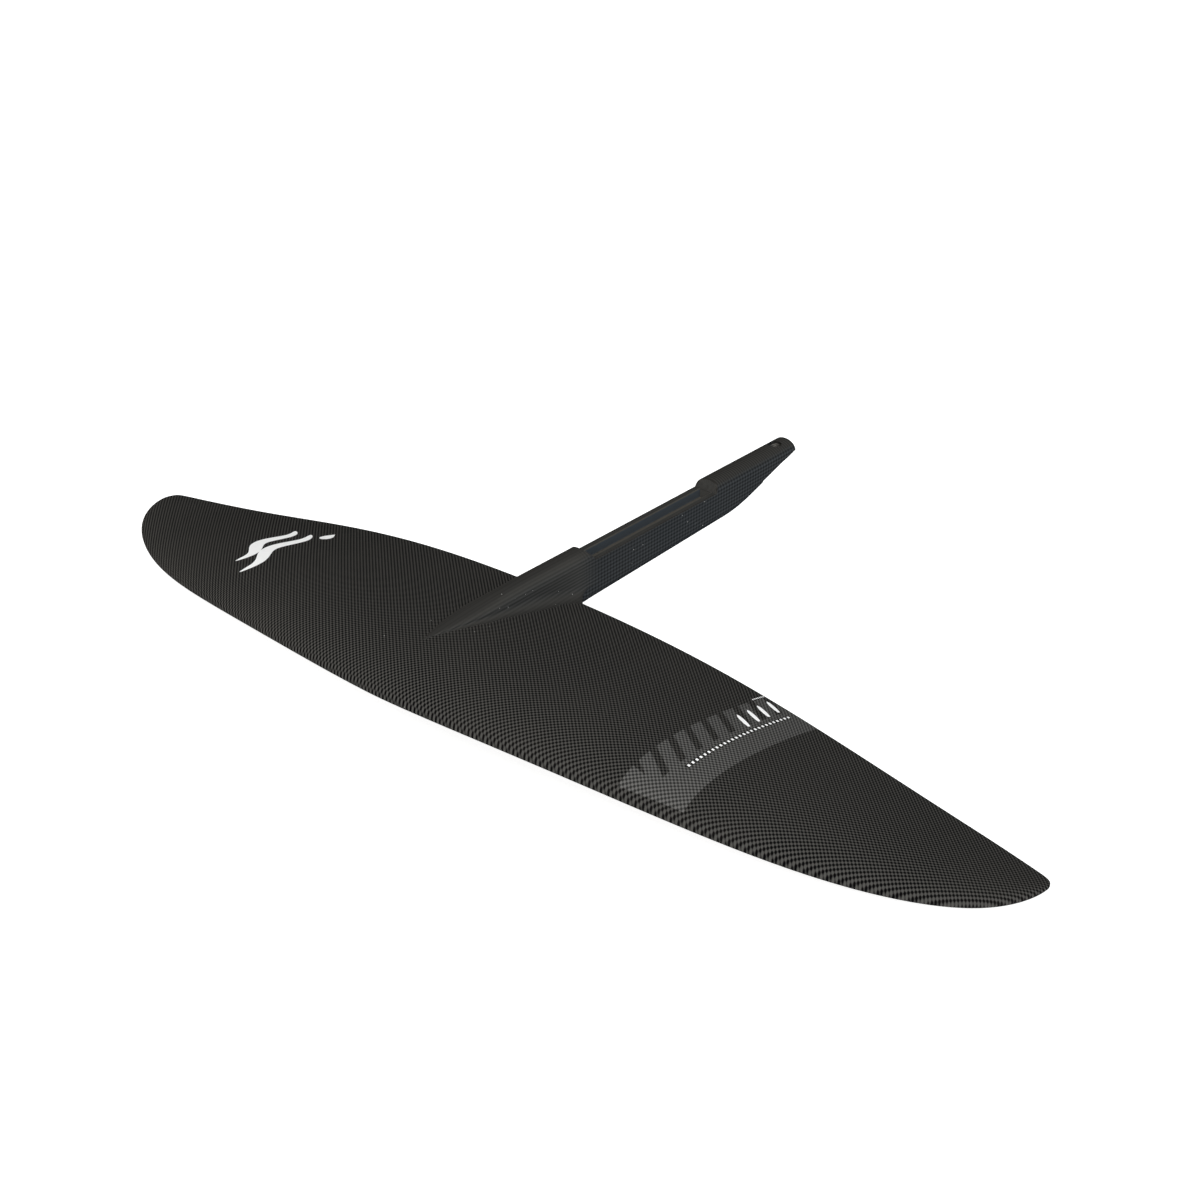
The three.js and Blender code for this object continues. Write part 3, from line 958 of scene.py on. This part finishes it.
# ---------------------------------------------------------------- foam cores
# Closed-cell foam fills the wing and the fuselage and keeps the skins apart. It is cut to
# shape and glued in before the mould is closed.
foam, tree, shader = new_finish("closed_cell_foam", Specular_IOR_Level=0.2)
cells = tree.nodes.new("ShaderNodeTexVoronoi")
cells.inputs["Scale"].default_value = 1400.0
tree.links.new(object_place(tree), cells.inputs["Vector"])
walls = cells.outputs["Distance"]
foam_deep, foam_pale = (0.55, 0.48, 0.31, 1), (0.76, 0.7, 0.52, 1)
coloured(tree, shader, ramp(tree, walls, 0.1, 0.7), foam_deep, foam_pale)
dulled(tree, shader, walls, 0.95, 0.8, 0.0, 0.8)
roughened(tree, shader, walls, 0.0002)
refinished(foam, "spar_core", "front_core_left", "front_core_right", "rear_core_left",
           "rear_core_right", "fuselage_core_front", "fuselage_core_rear")

# ---------------------------------------------------------------- edge fillers
# Where the skins come too close for foam, the leading and trailing edges are filled with
# bundles of carbon roving soaked in resin.
roving, tree, shader = new_finish("roving_in_resin", Specular_IOR_Level=0.35)
strands = speckle(tree, stretched(tree, (20, 700, 700)), 1.0, 4.0)
coloured(tree, shader, strands, (0.009, 0.009, 0.01, 1), (0.05, 0.049, 0.047, 1))
dulled(tree, shader, strands, 0.3, 0.6)
roughened(tree, shader, strands, 0.00012)
refinished(roving, "leading_edge_filler_left", "leading_edge_filler_right",
           "trailing_edge_filler_left", "trailing_edge_filler_right")

# ---------------------------------------------------------------- tail block
# The stabiliser is screwed against a second block of solid laminate, which fills the tail
# around its bush.
refinished(laminate, "tail_block")

# ---------------------------------------------------------------- printed marks
# Plain white marks are printed on the upper skin and sealed under the clear coat: two waves and
# a drop on the left, a row of dashes and four brush strokes on the right.
film = 0.05
ink, tree, shader = new_finish("white_ink", Specular_IOR_Level=0.4)
mottle = speckle(tree, object_place(tree), 260.0, 3.0)
coloured(tree, shader, mottle, (0.86, 0.86, 0.86, 1), (0.93, 0.93, 0.93, 1))
dulled(tree, shader, mottle, 0.4, 0.55)

marks_tree = bpy.data.node_groups.new("printed_marks", "GeometryNodeTree")
for label, kind, way in (
    ("Geometry", "NodeSocketGeometry", "INPUT"), ("Skin", "NodeSocketObject", "INPUT"),
    ("Count", "NodeSocketInt", "INPUT"), ("Step", "NodeSocketVector", "INPUT"),
    ("Film", "NodeSocketFloat", "INPUT"), ("Ink", "NodeSocketMaterial", "INPUT"),
    ("Geometry", "NodeSocketGeometry", "OUTPUT"),
):
    marks_tree.interface.new_socket(label, in_out=way, socket_type=kind)
link = marks_tree.links.new
asked = marks_tree.nodes.new("NodeGroupInput").outputs
row = marks_tree.nodes.new("GeometryNodeMeshLine")
link(asked["Count"], row.inputs["Count"])
link(asked["Step"], row.inputs["Offset"])
each = marks_tree.nodes.new("GeometryNodeInstanceOnPoints")
link(row.outputs["Mesh"], each.inputs["Points"])
link(asked["Geometry"], each.inputs["Instance"])
real = marks_tree.nodes.new("GeometryNodeRealizeInstances")
link(each.outputs[0], real.inputs[0])
target = marks_tree.nodes.new("GeometryNodeObjectInfo")
link(asked["Skin"], target.inputs["Object"])
fall = marks_tree.nodes.new("GeometryNodeRaycast")
link(target.outputs["Geometry"], fall.inputs["Target Geometry"])
fall.inputs["Ray Direction"].default_value = (0, 0, -1)
fall.inputs["Ray Length"].default_value = 1.0
lift = marks_tree.nodes.new("ShaderNodeCombineXYZ")
link(asked["Film"], lift.inputs["Z"])
raised = marks_tree.nodes.new("ShaderNodeVectorMath")
link(fall.outputs["Hit Position"], raised.inputs[0])
link(lift.outputs[0], raised.inputs[1])
lay = marks_tree.nodes.new("GeometryNodeSetPosition")
link(real.outputs[0], lay.inputs["Geometry"])
link(fall.outputs["Is Hit"], lay.inputs["Selection"])
link(raised.outputs[0], lay.inputs["Position"])
paint = marks_tree.nodes.new("GeometryNodeSetMaterial")
link(lay.outputs[0], paint.inputs["Geometry"])
link(asked["Ink"], paint.inputs["Material"])
link(paint.outputs[0], marks_tree.nodes.new("NodeGroupOutput").inputs[0])


# A flat stroke along a path of (x, y) points, with a width at each of them.
def stroke(path, widths, lanes=6):
    points = np.array(path, float)
    ways = np.gradient(points, axis=0)
    ways /= np.maximum(np.hypot(*ways.T), 1e-9)[:, None]
    sides = np.stack([ways[:, 1], -ways[:, 0]], 1)
    reach = sides * np.array(widths)[:, None]
    return np.stack([points + reach * (i / lanes - 0.5) for i in range(lanes + 1)], 1)


over_wing = 60


# One flat mesh from several strokes, held over the wing until it is laid on the skin.
def flat_marks(name, strokes):
    points, faces = [], []
    for grid in strokes:
        start, (steps, lanes) = len(points), grid.shape[:2]
        points += [(x, y, over_wing) for x, y in grid.reshape(-1, 2)]
        for i in range(steps - 1):
            for j in range(lanes - 1):
                a = start + i * lanes + j
                faces.append((a, a + 1, a + lanes + 1, a + lanes))
    mark = solid(name, points, faces)
    for face in mark.data.polygons:
        if face.normal.z < 0:
            mark.data.flip_normals()
            break
    return mark


def printed(mark, count=1, step=(0, 0)):
    lay = mark.modifiers.new("lay", "NODES")
    lay.node_group = marks_tree
    names = {i.name: i.identifier for i in marks_tree.interface.items_tree if i.in_out == "INPUT"}
    lay[names["Skin"]] = upper_skin
    lay[names["Count"]] = count
    lay[names["Step"]] = (step[0] * mm, step[1] * mm, 0.0)
    lay[names["Film"]] = film * mm
    lay[names["Ink"]] = ink
    thicken = mark.modifiers.new("thicken", "SOLIDIFY")
    thicken.thickness, thicken.offset = 2 * film * mm, -1
    settle(mark)
    smooth_shaded(mark, 60)
    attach(mark, "root")


def wave(start, end, height, width, turns=1.5, steps=90):
    a, b = np.array(start, float), np.array(end, float)
    way = (b - a) / np.hypot(*(b - a))
    side = np.array([way[1], -way[0]])
    shares = np.linspace(0, 1, steps)
    path = [a + (b - a) * t + side * height * math.sin(2 * math.pi * turns * t) for t in shares]
    return stroke(path, [width * max(0.03, math.sin(math.pi * t) ** 0.55) for t in shares])


def drop(middle, width, tail):
    shares = np.linspace(0, 1, 48)
    path = [(middle[0] + (t - 0.5) * tail[0], middle[1] + (t - 0.5) * tail[1]) for t in shares]
    return stroke(path, [width * max(0.02, math.sin(math.pi * t**0.62)) for t in shares])


printed(flat_marks("waves_mark", [
    wave((-203, -240), (-222, -150), height=5.2, width=11.5),
    wave((-224, -226), (-243, -148), height=5.2, width=11.5),
    drop((-206, -146), width=10, tail=(-4, 18)),
]))


def dash(start, length, width):
    x, y = start
    return stroke([(x, y), (x, y + length / 2), (x, y + length)], [width] * 3, 2)


dashes = flat_marks("dash_marks", [dash((220.3, -225), length=1.8, width=1.9)])
printed(dashes, count=27, step=(0, 4.25))
edge_dashes = flat_marks("edge_marks", [dash((193.2, -119), length=1, width=1.2)])
printed(edge_dashes, count=7, step=(0, 2.0))
shares = np.linspace(0, 1, 30)
brush_path = [(216 - 15.5 * t + 1.5 * t * t, -153 + 4.5 * t) for t in shares]
brush_widths = [3.2 * math.sin(math.pi * min(1, t + 0.05)) ** 0.4 + 0.3 for t in shares]
brushed = flat_marks("brush_marks", [stroke(brush_path, brush_widths)])
printed(brushed, count=4, step=(-1.0, 12.8))

# ---------------------------------------------------------------- studio
# A plain pale floor under the tips of the wing, soft light from all round, a broad lamp
# overhead and a cool one on the right.
floor_mesh = bpy.data.meshes.new("floor")
reach = 9.0
floor_gap = 0.0005
floor_corners = [(-reach, -reach, 0), (reach, -reach, 0), (reach, reach, 0), (-reach, reach, 0)]
floor_mesh.from_pydata(floor_corners, [], [(0, 1, 2, 3)])
floor = bpy.data.objects.new("floor", floor_mesh)
floor.location.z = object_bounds()[0].z - floor_gap
bpy.context.scene.collection.objects.link(floor)
pale, tree, shader = new_finish("pale_floor", Roughness=0.9, Specular_IOR_Level=0.1)
shader.inputs["Base Color"].default_value = (0.6, 0.6, 0.6, 1)
shader.inputs["Emission Color"].default_value = (1, 1, 1, 1)
shader.inputs["Emission Strength"].default_value = 0.8
floor_mesh.materials.append(pale)

world = bpy.data.worlds.new("studio")
bpy.context.scene.world = world
world.use_nodes = True
sky = world.node_tree.nodes["Background"]
sky.inputs["Color"].default_value = (1.0, 0.97, 0.92, 1)
sky.inputs["Strength"].default_value = 0.14


# The way from the wing towards a lamp or the camera, by degrees round from the nose and up.
def toward(azimuth, elevation):
    a, e = math.radians(azimuth), math.radians(elevation)
    return Vector((math.sin(a) * math.cos(e), -math.cos(a) * math.cos(e), math.sin(e)))


def lamp(name, azimuth, elevation, spread, power, colour):
    light = bpy.data.lights.new(name, "SUN")
    light.angle, light.energy, light.color = math.radians(spread), power, colour
    made = bpy.data.objects.new(name, light)
    made.rotation_mode = "QUATERNION"
    made.rotation_quaternion = toward(azimuth, elevation).to_track_quat("Z", "Y")
    bpy.context.scene.collection.objects.link(made)


lamp("key", 25, 46, spread=60, power=3.8, colour=(1.0, 0.985, 0.96))
lamp("cool_side", 95, 35, spread=60, power=0.8, colour=(0.7, 0.85, 1.0))

camera = bpy.data.objects.new("camera", bpy.data.cameras.new("camera"))
camera.location = (0.94695, -1.16155, 0.76591)
camera.rotation_mode = "QUATERNION"
camera.rotation_quaternion = (-toward(40.59, 28.92)).to_track_quat("-Z", "Y")
camera.data.sensor_width = 36
camera.data.lens = 64.9
bpy.context.scene.collection.objects.link(camera)
bpy.context.scene.camera = camera
bpy.context.scene.view_settings.view_transform = "Standard"
